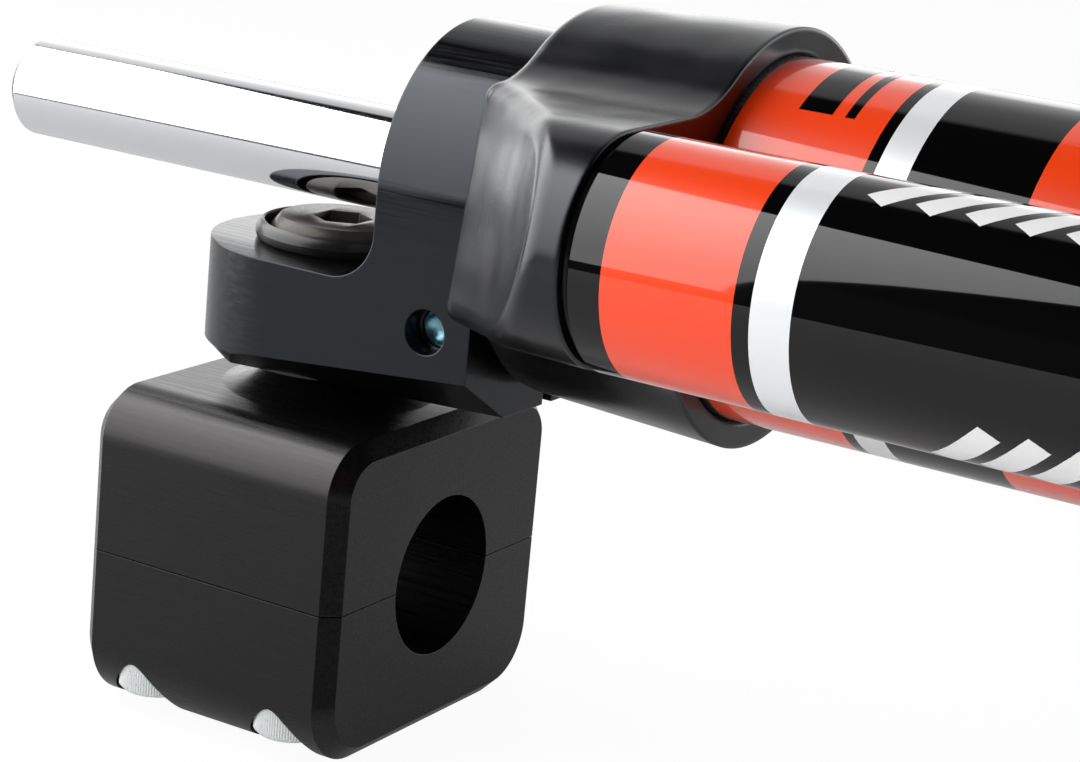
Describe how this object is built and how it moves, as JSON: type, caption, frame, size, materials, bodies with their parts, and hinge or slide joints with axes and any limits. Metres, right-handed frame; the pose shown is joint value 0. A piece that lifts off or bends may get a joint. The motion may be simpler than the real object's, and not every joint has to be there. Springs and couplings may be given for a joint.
{
  "type": "steering damper",
  "caption": "Through-rod hydraulic steering damper with a side reservoir and a split tie-rod clamp on a swivelling ball joint.",
  "frame": {"origin": "centre of the tie-rod bore in the split clamp, straight below the swivel axis", "axes": "+X along the tie rod and the damper, from the free shaft end to the rod end; -Y towards the reservoir; +Z from the tie rod up to the damper"},
  "size_m": [0.4929, 0.1012, 0.1179],
  "materials": {
    "black_anodised": "black anodised, machined with fine tool lines",
    "black_cast": "satin black, fine bead-blasted cast surface",
    "main_tube_skin": "gloss bands of orange-red, black and silver on an aluminium tube",
    "reservoir_skin": "gloss black tube with an orange-red and a silver band",
    "chrome_shaft": "ground and hard-chromed",
    "zinc_screws": "bright zinc plated, knurled heads",
    "pivot_steel": "turned steel with a grainy phosphate finish",
    "blue_zinc": "blue zinc plated",
    "bearing_steel": "ground bearing steel",
    "seal_rubber": "moulded nitrile rubber",
    "bronze": "bronze-backed bearing strip",
    "piston_aluminium": "turned aluminium",
    "tube_aluminium": "drawn aluminium tube",
    "blue_anodised": "blue anodised, scalloped",
    "zinc_steel": "zinc plated steel",
    "valve_plastic": "moulded plastic"
  },
  "bodies": {
    "clamp": {"clamp_upper": "black_anodised", "clamp_lower": "black_anodised", "clamp_screws": "zinc_screws", "pivot_screw": "pivot_steel"},
    "pivot_ball": {"bearing_ball": "bearing_steel"},
    "housing": {"bearing_race": "bearing_steel", "race_clip": "zinc_steel", "seal_ring_upper": "seal_rubber", "seal_ring_lower": "seal_rubber", "mount_arm": "black_anodised", "pinch_screw": "blue_zinc", "front_cap": "black_cast", "rear_cap": "black_cast", "main_tube": "main_tube_skin", "reservoir_tube": "reservoir_skin", "transfer_tube": "tube_aluminium", "tube_o_rings": "seal_rubber", "reservoir_o_rings": "seal_rubber", "bushings": "bronze", "shaft_seals": "seal_rubber", "wipers": "seal_rubber", "adjuster_plug": "zinc_steel", "gas_valve": "zinc_steel", "valve_cap": "valve_plastic"},
    "shaft": {"shaft": "chrome_shaft", "piston": "piston_aluminium", "piston_band": "bronze", "shims": "bearing_steel", "piston_nuts": "zinc_steel", "jam_nut": "zinc_steel", "rod_end": "zinc_steel", "rod_end_race": "bearing_steel"},
    "rod_end_ball": {"rod_end_ball": "bearing_steel"},
    "floating_piston": {"floating_piston": "piston_aluminium", "floating_o_ring": "seal_rubber"},
    "needle": {"adjuster_needle": "bearing_steel"},
    "knob": {"adjuster_knob": "blue_anodised"}
  },
  "joints": [
    {"name": "clamp_swivel", "type": "hinge", "parent": "clamp", "child": "pivot_ball", "pos_m": [0, 0, 0.0395], "axis": [0, 0, 1], "continuous": true},
    {"name": "clamp_tilt", "type": "hinge", "parent": "pivot_ball", "child": "housing", "pos_m": [0, 0, 0.0395], "axis": [0, 1, 0], "range_deg": [-3.5, 3.5]},
    {"name": "shaft_stroke", "type": "slide", "parent": "housing", "child": "shaft", "axis": [1, 0, 0], "range_m": [-0.08, 0.08]},
    {"name": "rod_end_swivel", "type": "hinge", "parent": "shaft", "child": "rod_end_ball", "pos_m": [0.4107, 0.004, 0.062], "axis": [0, 0, 1], "continuous": true},
    {"name": "gas_piston_slide", "type": "slide", "parent": "housing", "child": "floating_piston", "axis": [1, 0, 0], "range_m": [-0.045, 0.073]},
    {"name": "adjuster_turn", "type": "hinge", "parent": "housing", "child": "knob", "pos_m": [0.27, -0.0413, 0.067], "axis": [1, 0, 0], "range_deg": [-345, 0]},
    {"name": "needle_slide", "type": "slide", "parent": "housing", "child": "needle", "axis": [1, 0, 0], "range_m": [-0.00145, 0]}
  ],
  "couplings": [
    {"joint": "needle_slide", "follows": "adjuster_turn", "m_per_rad": 0.00023873}
  ]
}
